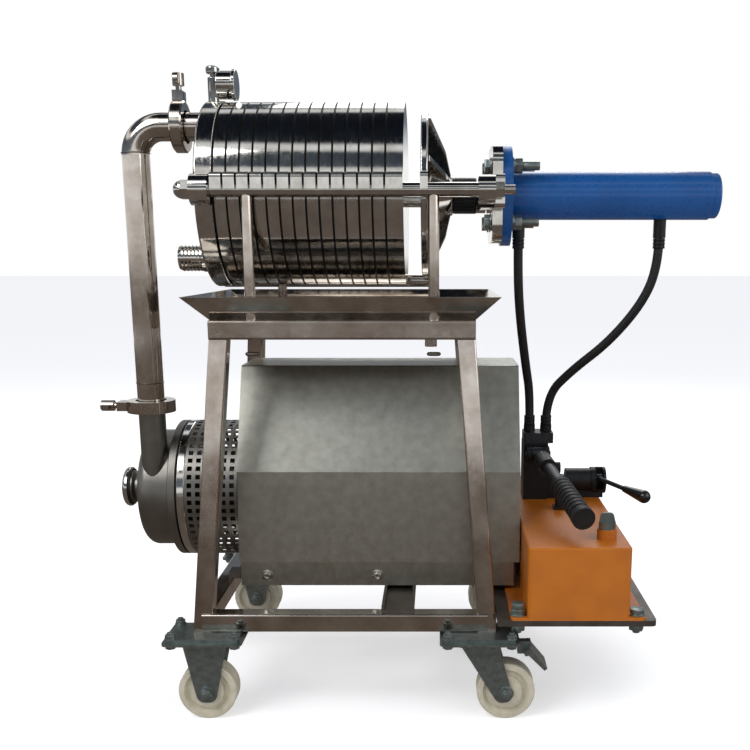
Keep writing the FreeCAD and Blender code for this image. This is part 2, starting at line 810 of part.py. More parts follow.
corner = [
    (tank_left - 22, -tank_half_y, base_top),
    (tank_left - 22, tank_half_y, base_top),
    (tank_right + 22, tank_half_y, base_top),
    (tank_right + 22, -tank_half_y, base_top),
]
save("tank_feet", plate(corner, 6, (0, 0, foot_t)))
corner = [
    (tank_left, -tank_half_y, tank_bottom),
    (tank_left, tank_half_y, tank_bottom),
    (tank_right, tank_half_y, tank_bottom),
    (tank_right, -tank_half_y, tank_bottom),
]
tank = plate(corner, 7, (0, 0, tank_height))
edges = [edge for edge in tank.Edges if edge.BoundBox.ZMin > tank_top - 0.1]
save("pump_tank", tank.makeFillet(3.0, edges))

body_y = 70.0
pivot_x = 283.0
pivot_y = 33.0
pivot_z = tank_top + 76.0
block_top = tank_top + 90.0
hose_end_z = tank_top + 116.0
block = box(262, 300, body_y - 24, body_y + 24, tank_top, block_top)
block = block.fuse(box(300, 330, body_y - 18, body_y + 18, tank_top, tank_top + 32))
block = block.fuse(disc_x(300, 322, 9.0, body_y - 4, tank_top + 47))
lugs = []
for x in (pivot_x - 17, pivot_x + 9):
    lug = [
        (x, pivot_y - 11, pivot_z - 11),
        (x, pivot_y - 11, pivot_z + 11),
        (x, body_y - 23, pivot_z + 11),
        (x, body_y - 23, pivot_z - 11),
    ]
    lugs.append(plate(lug, [9, 9, 0, 0], (8, 0, 0)))
block = block.fuse(lugs)
block = block.cut(disc_x(pivot_x - 20, pivot_x + 20, 5.06, pivot_y, pivot_z))
corner = [
    (262, body_y - 23, block_top),
    (262, body_y + 19, block_top),
    (308, body_y + 19, block_top),
    (308, body_y - 23, block_top),
]
outlet_block = plate(corner, 3, (0, 0, 16))
save("pump_body", block.removeSplitter())
save("outlet_block", outlet_block)

lever_end = (322.0, -195.0, pivot_z - 42)
lever_line = V(*lever_end) - V(pivot_x, pivot_y, pivot_z)


def on_lever(part):
    """Point at a part of the way along the lever."""
    point = V(pivot_x, pivot_y, pivot_z) + lever_line * part
    return (point.x, point.y, point.z)


lever = disc_x(pivot_x - 8.5, pivot_x + 8.5, 11.0, pivot_y, pivot_z)
lever = lever.fuse(disc_x(pivot_x - 19, pivot_x + 19, 5.0, pivot_y, pivot_z))
socket = [rod(on_lever(0.02), on_lever(0.12), 6.0), rod(on_lever(0.1), on_lever(0.24), 14.0)]
lever = lever.fuse(socket + [rod(on_lever(0.2), on_lever(0.54), 10.0)])
save("pump_lever", lever.removeSplitter())
grip = rod(on_lever(0.52), on_lever(0.97), 14.0)
for i in range(9):
    bead = 0.535 + 0.045 * i
    grip = grip.fuse(rod(on_lever(bead), on_lever(bead + 0.03), 15.2))
grip = grip.fuse(rod(on_lever(0.95), on_lever(1.0), 16.0))
grip = grip.cut(rod(on_lever(0.5), on_lever(0.541), 10.1))
save("lever_grip", grip.removeSplitter())

valve_pin_y = body_y - 12.0
valve_pin_z = tank_top + 32.0
valve = disc_x(331, 372, 19.0, body_y, tank_top + 26)
valve = valve.fuse(disc_x(371, 394, 21.0, body_y, tank_top + 26))
valve = valve.fuse(box(335, 390, body_y - 12, body_y + 12, tank_top, tank_top + 20))
valve = valve.cut(box(378, 390, body_y - 26, body_y + 4, tank_top + 14, tank_top + 51))
valve = valve.cut(disc_x(370, 395, 3.06, valve_pin_y, valve_pin_z))
save("valve_block", valve.removeSplitter())
handle_end = (426.0, valve_pin_y - 78, valve_pin_z - 6)
stick = disc_x(380, 388, 6.0, valve_pin_y, valve_pin_z)
stick = stick.fuse(disc_x(372, 394, 3.0, valve_pin_y, valve_pin_z))
stick = stick.fuse(rod((384, valve_pin_y, valve_pin_z), (384, valve_pin_y - 34, valve_pin_z + 4), 3.5))
stick = stick.fuse(rod((384, valve_pin_y - 33, valve_pin_z + 4), handle_end, 3.5))
stick = stick.fuse(Part.makeSphere(3.5, V(384, valve_pin_y - 33.5, valve_pin_z + 4)))
save("valve_lever", stick.removeSplitter())
knob_line = V(*handle_end) - V(384, valve_pin_y - 33, valve_pin_z + 4)
knob_start = V(*handle_end) - knob_line * 0.35
knob = Part.makeCone(5.0, 10.0, knob_line.Length * 0.6, knob_start, knob_line)
knob = knob.fuse(Part.makeSphere(10.0, knob_start + knob_line * 0.6))
knob = knob.cut(rod((384, valve_pin_y - 33, valve_pin_z + 4), handle_end, 3.6))
save("valve_knob", knob.removeSplitter())
neck_x = tank_right - 27.5
neck_y = 46.0 - tank_half_y
neck = rod((neck_x, neck_y, tank_top), (neck_x, neck_y, tank_top + 14), 13.5)
save("filler_neck", neck)
cap = rod((neck_x, neck_y, tank_top + 14), (neck_x, neck_y, tank_top + 24), 11.5)
wing = [
    (neck_x - 11, neck_y - 2, tank_top + 23),
    (neck_x + 11, neck_y - 2, tank_top + 23),
    (neck_x + 8, neck_y - 2, tank_top + 36),
    (neck_x - 8, neck_y - 2, tank_top + 36),
]
save("filler_cap", cap.fuse(plate(wing, [1, 1, 5, 5], (0, 4, 0))).removeSplitter())

breather = box(303, 321, -21, -3, tank_top, tank_top + 5)
breather = breather.fuse(rod((312, -12, tank_top), (312, -12, tank_top + 26), 6.5))
save("tank_breather", breather.removeSplitter())

# Wheels and casters ---------------------------------------------------------


def wheel(x, y):
    """Roller-bearing nylon wheel on the line Y through x."""
    half = wheel_width / 2.0
    profile = [
        (y - half, 6.1),
        (y - half, 22.5),
        (y - half + 5, 22.5),
        (y - half + 5, 28),
        (y - half, 32),
        (y - half, wheel_radius - 2),
        (y - half + 2, wheel_radius),
        (y + half - 2, wheel_radius),
        (y + half, wheel_radius - 2),
        (y + half, 32),
        (y + half - 5, 28),
        (y + half - 5, 22.5),
        (y + half, 22.5),
        (y + half, 6.1),
    ]
    return revolve_y(profile, x, wheel_radius)


def fork(x, y, top, trail, side_reach):
    """Two eased cheeks under a flat crown, with the axle through them."""
    cheek_in = wheel_width / 2.0 + 2.0
    cheek_out = cheek_in + 3.0
    crown = box(x - side_reach, x + side_reach, y - cheek_out, y + cheek_out, top - 4, top)
    axle_x = x + trail
    parts = [crown]
    for y0, y1 in ((y - cheek_out, y - cheek_in), (y + cheek_in, y + cheek_out)):
        points = [
            (x - side_reach, y0, top),
            (x + side_reach, y0, top),
            (axle_x + 12, y0, wheel_radius - 14),
            (axle_x - 12, y0, wheel_radius - 14),
        ]
        parts.append(plate(points, [0, 0, 11, 11], (0, y1 - y0, 0)))
    parts.append(rod((axle_x, y - cheek_out - 5, wheel_radius), (axle_x, y + cheek_out + 5, wheel_radius), 6.0))
    return parts[0].fuse(parts[1:]).removeSplitter()


mounts = []
for side in (-caster_y, caster_y):
    for x in (-caster_x, swivel_x):
        low_y = side - caster_plate_y / 2
        high_y = side + caster_plate_y / 2
        corner = [
            (x - caster_plate_x / 2, low_y, caster_plate_bottom),
            (x - caster_plate_x / 2, high_y, caster_plate_bottom),
            (x + caster_plate_x / 2, high_y, caster_plate_bottom),
            (x + caster_plate_x / 2, low_y, caster_plate_bottom),
        ]
        mount = plate(corner, 9, (0, 0, caster_plate_t))
        low = side - 32
        high = side + 32
        mount = mount.fuse(box(x - 48, x + 48, low, high, caster_plate_bottom + caster_plate_t, base_bottom))
        mounts.append(mount)
fixed = fork(-caster_x, -caster_y, caster_plate_bottom, 0.0, 31.0)
save("rigid_forks", both_y(fixed))
save("wheel_left_front", wheel(-caster_x, -caster_y))
save("wheel_left_back", wheel(-caster_x, caster_y))

race_t = 5.0
races = []
for side in (-caster_y, caster_y):
    race = rod((swivel_x, side, caster_plate_bottom - race_t), (swivel_x, side, caster_plate_bottom), 27.0)
    stem = rod((swivel_x, side, caster_plate_bottom - race_t - 8), (swivel_x, side, caster_plate_bottom), 6.0)
    races.append(race.fuse(stem))
mounts = [mounts[0], mounts[1].fuse(races[0]), mounts[2], mounts[3].fuse(races[1])]
save("caster_plates", Part.makeCompound([mount.removeSplitter() for mount in mounts]))
fork_top = caster_plate_bottom - race_t - 0.3
pedal_x = swivel_x + swivel_trail + 34.0
for name, side in (("front", -caster_y), ("back", caster_y)):
    shape = fork(swivel_x, side, fork_top, swivel_trail, 26.0)
    shape = shape.cut(rod((swivel_x, side, 80), (swivel_x, side, 130), 6.1))
    shape = shape.fuse(box(swivel_x + 20, pedal_x, side - 5.7, side + 5.7, fork_top - 8, fork_top))
    shape = shape.fuse(box(pedal_x - 18, pedal_x, side - 5.7, side + 5.7, 92, fork_top - 3))
    shape = shape.cut(rod((pedal_x - 7, side - 30, 97), (pedal_x - 7, side + 30, 97), 3.06))
    save("swivel_fork_" + name, shape.removeSplitter())
    pedal = prism(
        [
            (pedal_x - 10, side - 20, 101),
            (pedal_x - 2, side - 20, 105),
            (pedal_x + 22, side - 20, 76),
            (pedal_x + 18, side - 20, 73),
        ],
        (0, 40, 0),
    )
    pedal = pedal.cut(box(pedal_x - 20, pedal_x + 1, side - 6, side + 6, 80, 110))
    pedal = pedal.fuse(rod((pedal_x - 7, side - 20, 97), (pedal_x - 7, side + 20, 97), 3.0))
    save("brake_pedal_" + name, pedal.removeSplitter())
    save("wheel_right_" + name, wheel(swivel_x + swivel_trail, side))

# Hoses ----------------------------------------------------------------------

hose_1 = [(244, 0, 652), (244, 0, 600), (250, 16, 535), (263, 52, 460), (272, body_y, 415), (272, body_y, hose_end_z)]
hose_2 = [
    (448, 0, 652),
    (448, 0, 612),
    (430, 6, 560),
    (385, 24, 500),
    (335, 50, 455),
    (298, body_y, 412),
    (298, body_y, hose_end_z),
]
save("hose_1", tube_path(hose_1, hose_radius))
save("hose_2", tube_path(hose_2, hose_radius))
ports = []
for x in (244.0, 448.0):
    shank = rod((x, 0, axis_z - barrel_radius + 2), (x, 0, 652), 9.0)
    ports.append(shank.cut(disc_x(x - 20, x + 20, barrel_radius + 0.1)))
for x in (272.0, 298.0):
    ports.append(rod((x, body_y, block_top + 16), (x, body_y, hose_end_z), 9.0))
save("hose_fittings", Part.makeCompound(ports))
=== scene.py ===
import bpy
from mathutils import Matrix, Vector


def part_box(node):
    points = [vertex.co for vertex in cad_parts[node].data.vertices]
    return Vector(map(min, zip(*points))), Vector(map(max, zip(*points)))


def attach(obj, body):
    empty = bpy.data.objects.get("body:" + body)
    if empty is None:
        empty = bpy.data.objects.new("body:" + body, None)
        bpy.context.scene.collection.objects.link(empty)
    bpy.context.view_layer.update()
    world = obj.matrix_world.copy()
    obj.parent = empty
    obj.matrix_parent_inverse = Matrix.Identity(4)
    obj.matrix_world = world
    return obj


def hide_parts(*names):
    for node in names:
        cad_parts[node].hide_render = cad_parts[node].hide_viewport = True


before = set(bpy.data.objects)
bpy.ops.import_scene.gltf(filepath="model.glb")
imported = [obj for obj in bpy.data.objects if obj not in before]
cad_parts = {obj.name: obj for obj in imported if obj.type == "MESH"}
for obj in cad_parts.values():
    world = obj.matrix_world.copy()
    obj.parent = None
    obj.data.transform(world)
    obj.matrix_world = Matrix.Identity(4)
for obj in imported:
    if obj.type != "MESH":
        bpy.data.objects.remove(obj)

"""Looks of a plate filter press: finishes, fasteners, welds, hoses, camera and studio.

Metres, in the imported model's frame: +X along the tie rods towards the ram's
cylinder, +Y to the back and +Z up, with the floor at Z = 0.
"""

import logging
import math
from dataclasses import dataclass
from enum import Enum

import bpy
from mathutils import Matrix, Vector

MM = 0.001
log = logging.getLogger("filter_press")


# Finishes -------------------------------------------------------------------


def linear(colour: str) -> tuple[float, float, float, float]:
    """Turn an sRGB hex colour into linear values.

    Args:
        colour: Six hex digits after a hash sign.

    Returns:
        Linear red, green and blue, and an alpha of one.
    """
    values = []
    for start in (1, 3, 5):
        part = int(colour[start : start + 2], 16) / 255.0
        values.append(part / 12.92 if part <= 0.04045 else ((part + 0.055) / 1.055) ** 2.4)
    return (*values, 1.0)


def add_node(
    tree: bpy.types.NodeTree,
    kind: str,
    settings: dict | None = None,
    inputs: dict | None = None,
) -> bpy.types.Node:
    """Add one node with its settings, values and links.

    Args:
        tree: Node tree that gets the node.
        kind: Blender's name of the node type.
        settings: Properties to set on the node.
        inputs: Values or output sockets, by input name or number.

    Returns:
        The new node.
    """
    made = tree.nodes.new(kind)
    for key, value in (settings or {}).items():
        setattr(made, key, value)
    for key, value in (inputs or {}).items():
        if isinstance(value, bpy.types.NodeSocket):
            tree.links.new(value, made.inputs[key])
        else:
            made.inputs[key].default_value = value
    return made


def blank_material(title: str) -> tuple[bpy.types.Material, bpy.types.NodeTree]:
    """Start a material with an empty node tree.

    Args:
        title: Name of the material.

    Returns:
        The material and its node tree.
    """
    made = bpy.data.materials.new(title)
    made.use_nodes = True
    made.node_tree.nodes.clear()
    return made, made.node_tree


@dataclass(frozen=True)
class Finish:
    """A surface as its maker left it.

    The base colour drifts towards a second one in soft blotches, a finer
    grain changes the gloss and gives the surface its relief.
    """

    title: str
    colour: str
    drift_colour: str
    metallic: float
    roughness: float
    gloss_spread: float = 0.08
    drift_mm: float = 60.0
    drift_share: float = 0.5
    grain_mm: tuple[float, float, float] = (1.0, 1.0, 1.0)
    relief_mm: float = 0.02
    coat: float = 0.0

    def coordinates(
        self, tree: bpy.types.NodeTree, size_mm: tuple[float, float, float]
    ) -> bpy.types.NodeSocket:
        """Object coordinates scaled so that one pattern cell has a real size.

        Args:
            tree: Node tree of the material.
            size_mm: Cell size along X, Y and Z in millimetres.

        Returns:
            The scaled vector's socket.
        """
        place = add_node(tree, "ShaderNodeTexCoord")
        scale = [1.0 / (size * MM) for size in size_mm]
        mapped = add_node(
            tree,
            "ShaderNodeMapping",
            inputs={"Vector": place.outputs["Object"], "Scale": scale},
        )
        return mapped.outputs["Vector"]

    def drift(self, tree: bpy.types.NodeTree) -> bpy.types.NodeSocket:
        """Make the soft blotches.

        Args:
            tree: Node tree of the material.

        Returns:
            The socket of the blotch strength, from 0 to the drift's share.
        """
        vector = self.coordinates(tree, (self.drift_mm,) * 3)
        noise = add_node(
            tree,
            "ShaderNodeTexNoise",
            inputs={"Vector": vector, "Scale": 1.0, "Detail": 4.0},
        )
        spread = {
            "Value": noise.outputs["Fac"],
            "From Min": 0.35,
            "From Max": 0.7,
            "To Max": self.drift_share,
        }
        return add_node(tree, "ShaderNodeMapRange", inputs=spread).outputs["Result"]

    def grain(self, tree: bpy.types.NodeTree) -> bpy.types.NodeSocket:
        """Make the fine grain.

        Args:
            tree: Node tree of the material.

        Returns:
            The socket of the grain, from 0 to 1.
        """
        vector = self.coordinates(tree, self.grain_mm)
        noise = add_node(
            tree,
            "ShaderNodeTexNoise",
            inputs={"Vector": vector, "Scale": 1.0, "Detail": 3.0},
        )
        return noise.outputs["Fac"]

    def material(self) -> bpy.types.Material:
        """Build the material, or return it if it was built before."""
        known = bpy.data.materials.get(self.title)
        if known:
            return known
        made, tree = blank_material(self.title)
        drift = self.drift(tree)
        grain = self.grain(tree)
        colour = add_node(
            tree,
            "ShaderNodeMix",
            {"data_type": "RGBA"},
            {"Factor": drift, 6: linear(self.colour), 7: linear(self.drift_colour)},
        )
        gloss = add_node(
            tree,
            "ShaderNodeMapRange",
            inputs={
                "Value": grain,
                "From Min": 0.3,
                "From Max": 0.7,
                "To Min": max(0.02, self.roughness - self.gloss_spread),
                "To Max": min(1.0, self.roughness + self.gloss_spread),
            },
        )
        bump = add_node(
            tree,
            "ShaderNodeBump",
            inputs={"Height": grain, "Distance": self.relief_mm * MM, "Strength": 1.0},
        )
        surface = add_node(
            tree,
            "ShaderNodeBsdfPrincipled",
            inputs={
                "Base Color": colour.outputs[2],
                "Metallic": self.metallic,
                "Roughness": gloss.outputs["Result"],
                "Normal": bump.outputs["Normal"],
                "Coat Weight": self.coat,
            },
        )
        add_node(tree, "ShaderNodeOutputMaterial", inputs={"Surface": surface.outputs["BSDF"]})
        return made


class Finishes(Enum):
    """Every finish on the press."""

    # Buffed stainless tube: near mirror, with warm dark patches where the
    # buffing left it deeper.
    POLISHED = Finish(
        "buffed stainless tube",
        colour="#cfc8c0",
        drift_colour="#8a7768",
        metallic=1.0,
        roughness=0.12,
        gloss_spread=0.03,
        drift_mm=45.0,
        drift_share=0.6,
        grain_mm=(8.0, 8.0, 8.0),
        relief_mm=0.01,
    )
    # Turned stainless: fine rings across the rods and plates.
    TURNED = Finish(
        "turned stainless",
        colour="#d4d2cd",
        drift_colour="#9a938b",
        metallic=1.0,
        roughness=0.1,
        gloss_spread=0.04,
        drift_mm=30.0,
        drift_share=0.5,
        grain_mm=(4.0, 9.0, 9.0),
        relief_mm=0.012,
    )
    # Bead-blasted casting: soft grey with a fine sparkle.
    BLASTED = Finish(
        "bead-blasted stainless",
        colour="#8d8b86",
        drift_colour="#5f5952",
        metallic=1.0,
        roughness=0.38,
        gloss_spread=0.07,
        drift_mm=50.0,
        drift_share=0.5,
        grain_mm=(0.9, 0.9, 0.9),
        relief_mm=0.05,
    )
    # Folded sheet with a mill finish and short handling scratches.
    SHEET = Finish(
        "mill stainless sheet",
        colour="#b4b4ab",
        drift_colour="#8d897f",
        metallic=1.0,
        roughness=0.36,
        gloss_spread=0.08,
        drift_mm=14.0,
        drift_share=0.45,
        grain_mm=(2.2, 1.2, 3.2),
        relief_mm=0.03,
    )
    # Hot-rolled plate, pickled: dull and darker.
    PLATE = Finish(
        "pickled steel plate",
        colour="#77716b",
        drift_colour="#4f4842",
        metallic=0.9,
        roughness=0.45,
        gloss_spread=0.1,
        drift_mm=35.0,
        drift_share=0.6,
        grain_mm=(1.5, 1.5, 1.5),
        relief_mm=0.05,
    )
    # Bright zinc with a faint blue cast.
    ZINC = Finish(
        "zinc plating",
        colour="#96a19f",
        drift_colour="#6a716f",
        metallic=0.9,
        roughness=0.34,
        gloss_spread=0.1,
        drift_mm=9.0,
        drift_share=0.6,
        grain_mm=(1.0, 1.0, 1.0),
        relief_mm=0.03,
    )
    # Sprayed enamel: slight orange peel under gloss.
    BLUE = Finish(
        "blue enamel",
        colour="#0a4f90",
        drift_colour="#083d74",
        metallic=0.0,
        roughness=0.3,
        gloss_spread=0.06,
        drift_mm=70.0,
        drift_share=0.5,
        grain_mm=(6.0, 6.0, 6.0),
        relief_mm=0.02,
        coat=0.2,
    )
    ORANGE = Finish(
        "orange enamel",
        colour="#bd6a06",
        drift_colour="#a05410",
        metallic=0.0,
        roughness=0.36,
        gloss_spread=0.08,
        drift_mm=50.0,
        drift_share=0.5,
        grain_mm=(6.0, 6.0, 6.0),
        relief_mm=0.02,
        coat=0.1,
    )
    # Moulded rubber: matt, a little dusty.
    RUBBER = Finish(
        "black rubber",
        colour="#111112",
        drift_colour="#1d1d1e",
        metallic=0.0,
        roughness=0.55,
        gloss_spread=0.1,
        drift_mm=12.0,
        drift_share=0.6,
        grain_mm=(0.6, 0.6, 0.6),
        relief_mm=0.04,
    )
    # Blackened casting.
    BLACKED = Finish(
        "blackened steel",
        colour="#17181a",
        drift_colour="#26282b",
        metallic=0.4,
        roughness=0.42,
        gloss_spread=0.12,
        drift_mm=15.0,
        drift_share=0.6,
        grain_mm=(1.2, 1.2, 1.2),
        relief_mm=0.08,
    )
    # Drawn tube left bare: dark oiled steel.
    OILED = Finish(
        "oiled steel tube",
        colour="#45464a",
        drift_colour="#2b2c2f",
        metallic=0.8,
        roughness=0.36,
        gloss_spread=0.1,
        drift_mm=14.0,
        drift_share=0.6,
        grain_mm=(1.0, 6.0, 2.0),
        relief_mm=0.03,
    )
    # Moulded nylon: waxy ivory, scuffed.
    NYLON = Finish(
        "ivory nylon",
        colour="#cfc8b2",
        drift_colour="#b0a58a",
        metallic=0.0,
        roughness=0.42,
        gloss_spread=0.1,
        drift_mm=12.0,
        drift_share=0.5,
        grain_mm=(0.8, 0.8, 0.8),
        relief_mm=0.04,
    )
    # Moulded phenolic: glossy black.
    PHENOLIC = Finish(
        "black phenolic",
        colour="#0c0c0d",
        drift_colour="#161617",
        metallic=0.0,
        roughness=0.25,
        gloss_spread=0.06,
        drift_mm=10.0,
        drift_share=0.5,
        grain_mm=(1.0, 1.0, 1.0),
        relief_mm=0.02,
        coat=0.3,
    )


NODE_FINISHES: dict[Finishes, str] = {
    Finishes.POLISHED: (
        "base_long_rails base_cross_rails legs top_long_rails top_cross_rails riser_pipe feed_stub"
        " pipe_clamps rod_posts back_bar drip_tray"
    ),
    Finishes.TURNED: (
        "tie_rods filter_plates end_plate rod_nuts head_plate outlet_nozzle vent_valve back_plate"
        " inlet_cap crosshead press_plate"
    ),
    Finishes.BLASTED: "pump_casing pump_outlet motor_guard",
    Finishes.SHEET: "motor_cover cover_base",
    Finishes.PLATE: "pump_shelf motor_bearers",
    Finishes.ZINC: (
        "caster_plates rigid_forks swivel_fork_front swivel_fork_back brake_pedal_front"
        " brake_pedal_back filler_cap"
    ),
    Finishes.BLUE: "cylinder_flange cylinder_barrel",
    Finishes.ORANGE: "pump_tank tank_feet filler_neck",
    Finishes.RUBBER: "plate_gaskets casing_seal lever_grip",
    Finishes.BLACKED: (
        "pump_body hose_fittings valve_block tank_breather pump_adapter ram valve_lever"
    ),
    Finishes.OILED: "pump_lever outlet_block",
    Finishes.NYLON: "wheel_left_front wheel_left_back wheel_right_front wheel_right_back",
    Finishes.PHENOLIC: "valve_knob",
}


def dress_nodes() -> None:
    """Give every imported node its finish."""
    for choice, names in NODE_FINISHES.items():
        for name in names.split():
            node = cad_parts.get(name)
            if node is None:
                log.warning("no node %s", name)
                continue
            for spot in node.material_slots:
                spot.material = choice.value.material()
            if not node.material_slots:
                node.data.materials.append(choice.value.material())


# Modelling ------------------------------------------------------------------

# Numbers of sides.
HEXAGON = 6
THIN_ROUND = 20
SMALL_ROUND = 24
ROUND = 32
# A disc's bevel is at most this share of its height.
EASE_SHARE = 0.3
SMOOTH_ANGLE = math.radians(35)
LEFT = Vector((-1, 0, 0))
RIGHT = Vector((1, 0, 0))
UP = Vector((0, 0, 1))
DOWN = Vector((0, 0, -1))


def deselect() -> None:
    """Leave nothing selected."""
    bpy.ops.object.select_all(action="DESELECT")


def pick(*pieces: bpy.types.Object) -> None:
    """Select these pieces alone, the last one active.

    Args:
        pieces: Objects to select.
    """
    deselect()
    for piece in pieces:
        piece.select_set(True)
    bpy.context.view_layer.objects.active = pieces[-1]


def apply_modifier(piece: bpy.types.Object, kind: str, **settings) -> None:
    """Add a modifier and apply it.

    Args:
        piece: Object that gets the modifier.
        kind: Blender's name of the modifier type.
        settings: Properties of the modifier.
    """
    modifier = piece.modifiers.new(kind, kind)
    for key, value in settings.items():
        setattr(modifier, key, value)
    pick(piece)
    bpy.ops.object.modifier_apply(modifier=modifier.name)


def stack(name: str, steps: list[tuple[float, float, int]], ease: float) -> bpy.types.Object:
    """Coaxial discs and prisms piled along +Z and joined.

    Args:
        name: Name of the piece.
        steps: Radius, height and number of sides of each, from the bottom.
        ease: Width of the bevel on the outer edges.

    Returns:
        The joined piece, standing on the origin.
    """
    parts = []
    level = 0.0
    for radius, height, sides in steps:
        deselect()
        bpy.ops.mesh.primitive_cylinder_add(
            vertices=sides, radius=radius, depth=height, location=(0, 0, level + height / 2)
        )
        part = bpy.context.object
        bpy.ops.object.transform_apply()
        apply_modifier(
            part,
            "BEVEL",
            width=min(ease, height * EASE_SHARE),
            segments=2,
            limit_method="ANGLE",
        )
        parts.append(part)
        level += height
    pick(*parts)
    if len(parts) > 1:
        bpy.ops.object.join()
    piece = bpy.context.object
    piece.name = name
    bpy.ops.object.shade_smooth_by_angle(angle=SMOOTH_ANGLE)
    return piece


def facing(place: Vector, axis: Vector, turn: float = 0.0) -> Matrix:
    """Work out how a piece gets from the origin, +Z up, to its place.

    Args:
        place: Where the piece's origin goes.
        axis: Where its +Z points.
        turn: Its turn about that axis in radians.

    Returns:
        The matrix that carries it there.
    """
    aim = Vector(axis).to_track_quat("Z", "Y").to_matrix().to_4x4()
    return Matrix.Translation(place) @ aim @ Matrix.Rotation(turn, 4, "Z")


def copies(
    pattern: bpy.types.Object, places: list[Matrix], body: str, finish: Finishes
) -> None:
    """Copy a modelled piece to several places, each with its own mesh.

    Args:
        pattern: The modelled piece. It's removed afterwards.
        places: Where each copy goes.
        body: Body that the copies ride on.
        finish: Their finish.
    """
    for number, place in enumerate(places, 1):
        piece = pattern.copy()
        piece.data = pattern.data.copy()
        piece.name = f"{pattern.name}_{number}"
        bpy.context.scene.collection.objects.link(piece)
        piece.data.transform(place)
        settle(piece, body, finish)
    bpy.data.objects.remove(pattern)


def settle(piece: bpy.types.Object, body: str, finish: Finishes) -> None:
    """Dress a finished piece, set it riding and report it.

    Args:
        piece: The finished piece.
        body: Body that it rides on.
        finish: Its finish.
    """
    piece.data.materials.clear()
    piece.data.materials.append(finish.value.material())
    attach(piece, body)
    log.info("piece %s", piece.name)


@dataclass
class PressFasteners:
    """Bolts through the crosshead and the cylinder's flange."""

    bolt_circle: float = 38 * MM
    bolt_radius: float = 6 * MM
    across: float = 10.9 * MM
    washer_radius: float = 12 * MM
    collar_radius: float = 10 * MM
    stud_reach: float = 24 * MM
    # From the flange's left side to the crosshead's.
    crosshead_reach: float = 14.5 * MM
    ease: float = 0.8 * MM

    def build(self) -> None:
        """Model the heads, nuts and stud ends."""
        flange_low, flange_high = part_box("cylinder_flange")
        axis_z = (flange_low.z + flange_high.z) / 2
        plate_left = flange_low.x - self.crosshead_reach
        spots = [
            (y, axis_z + z)
            for y in (-self.bolt_circle, self.bolt_circle)
            for z in (-self.bolt_circle, self.bolt_circle)
        ]
        head = stack(
            "crosshead_bolt_head",
            [(self.washer_radius, 2 * MM, ROUND), (self.across, 7.5 * MM, HEXAGON)],
            self.ease,
        )
        aims = [
            facing(Vector((plate_left, y, z)), LEFT, 0.3 * i) for i, (y, z) in enumerate(spots)
        ]
        copies(head, aims, "frame", Finishes.ZINC)
        nut = stack(
            "flange_nut",
            [
                (self.washer_radius, 2.2 * MM, ROUND),
                (self.collar_radius, 2 * MM, ROUND),
                (self.across, 10 * MM, HEXAGON),
                (self.bolt_radius, self.stud_reach, SMALL_ROUND),
            ],
            self.ease,
        )
        aims = [
            facing(Vector((flange_high.x, y, z)), RIGHT, 0.4 * i)
            for i, (y, z) in enumerate(spots)
        ]
        copies(nut, aims, "frame", Finishes.ZINC)


@dataclass
class ShelfFasteners:
    """Bolts that hold the hand pump's foot plate to its shelf."""

    inset: float = 10.5 * MM
    further_inset_y: float = 4 * MM
    across: float = 10.4 * MM
    washer_radius: float = 11.5 * MM
    washer_height: float = 1.8 * MM
    # Washer and head together.
    lock_lift: float = 8.8 * MM
    lock_share: float = 0.96
    stud_radius: float = 5 * MM
    ease: float = 0.8 * MM
    lock_ease: float = 0.9 * MM

    def build(self) -> None:
        """Model the heads above and the nuts below."""
        low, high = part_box("tank_feet")
        shelf_low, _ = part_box("pump_shelf")
        spots = []
        for x in (low.x + self.inset, high.x - self.inset):
            for y in (
                low.y + self.inset + self.further_inset_y,
                high.y - self.inset - self.further_inset_y,
            ):
                spots.append(Vector((x, y, 0)))
        washer = (self.washer_radius, self.washer_height, ROUND)
        head = stack("foot_bolt", [washer, (self.across, 7 * MM, HEXAGON)], self.ease)
        aims = [facing(Vector((s.x, s.y, high.z)), UP, 0.5 * i) for i, s in enumerate(spots)]
        copies(head, aims, "frame", Finishes.ZINC)
        lock = stack(
            "foot_lock_nut", [(self.across * self.lock_share, 8 * MM, HEXAGON)], self.lock_ease
        )
        left = [s for s in spots if s.x < (low.x + high.x) / 2]
        aims = [facing(Vector((s.x, s.y, high.z + self.lock_lift)), UP, 0.9) for s in left]
        copies(lock, aims, "frame", Finishes.ZINC)
        nut = stack(
            "foot_nut",
            [
                washer,
                (self.across, 8 * MM, HEXAGON),
                (self.stud_radius, 4 * MM, SMALL_ROUND),
            ],
            self.ease,
        )
        aims = [
            facing(Vector((s.x, s.y, shelf_low.z)), -UP, 0.2 * i) for i, s in enumerate(spots)
        ]
        copies(nut, aims, "frame", Finishes.ZINC)


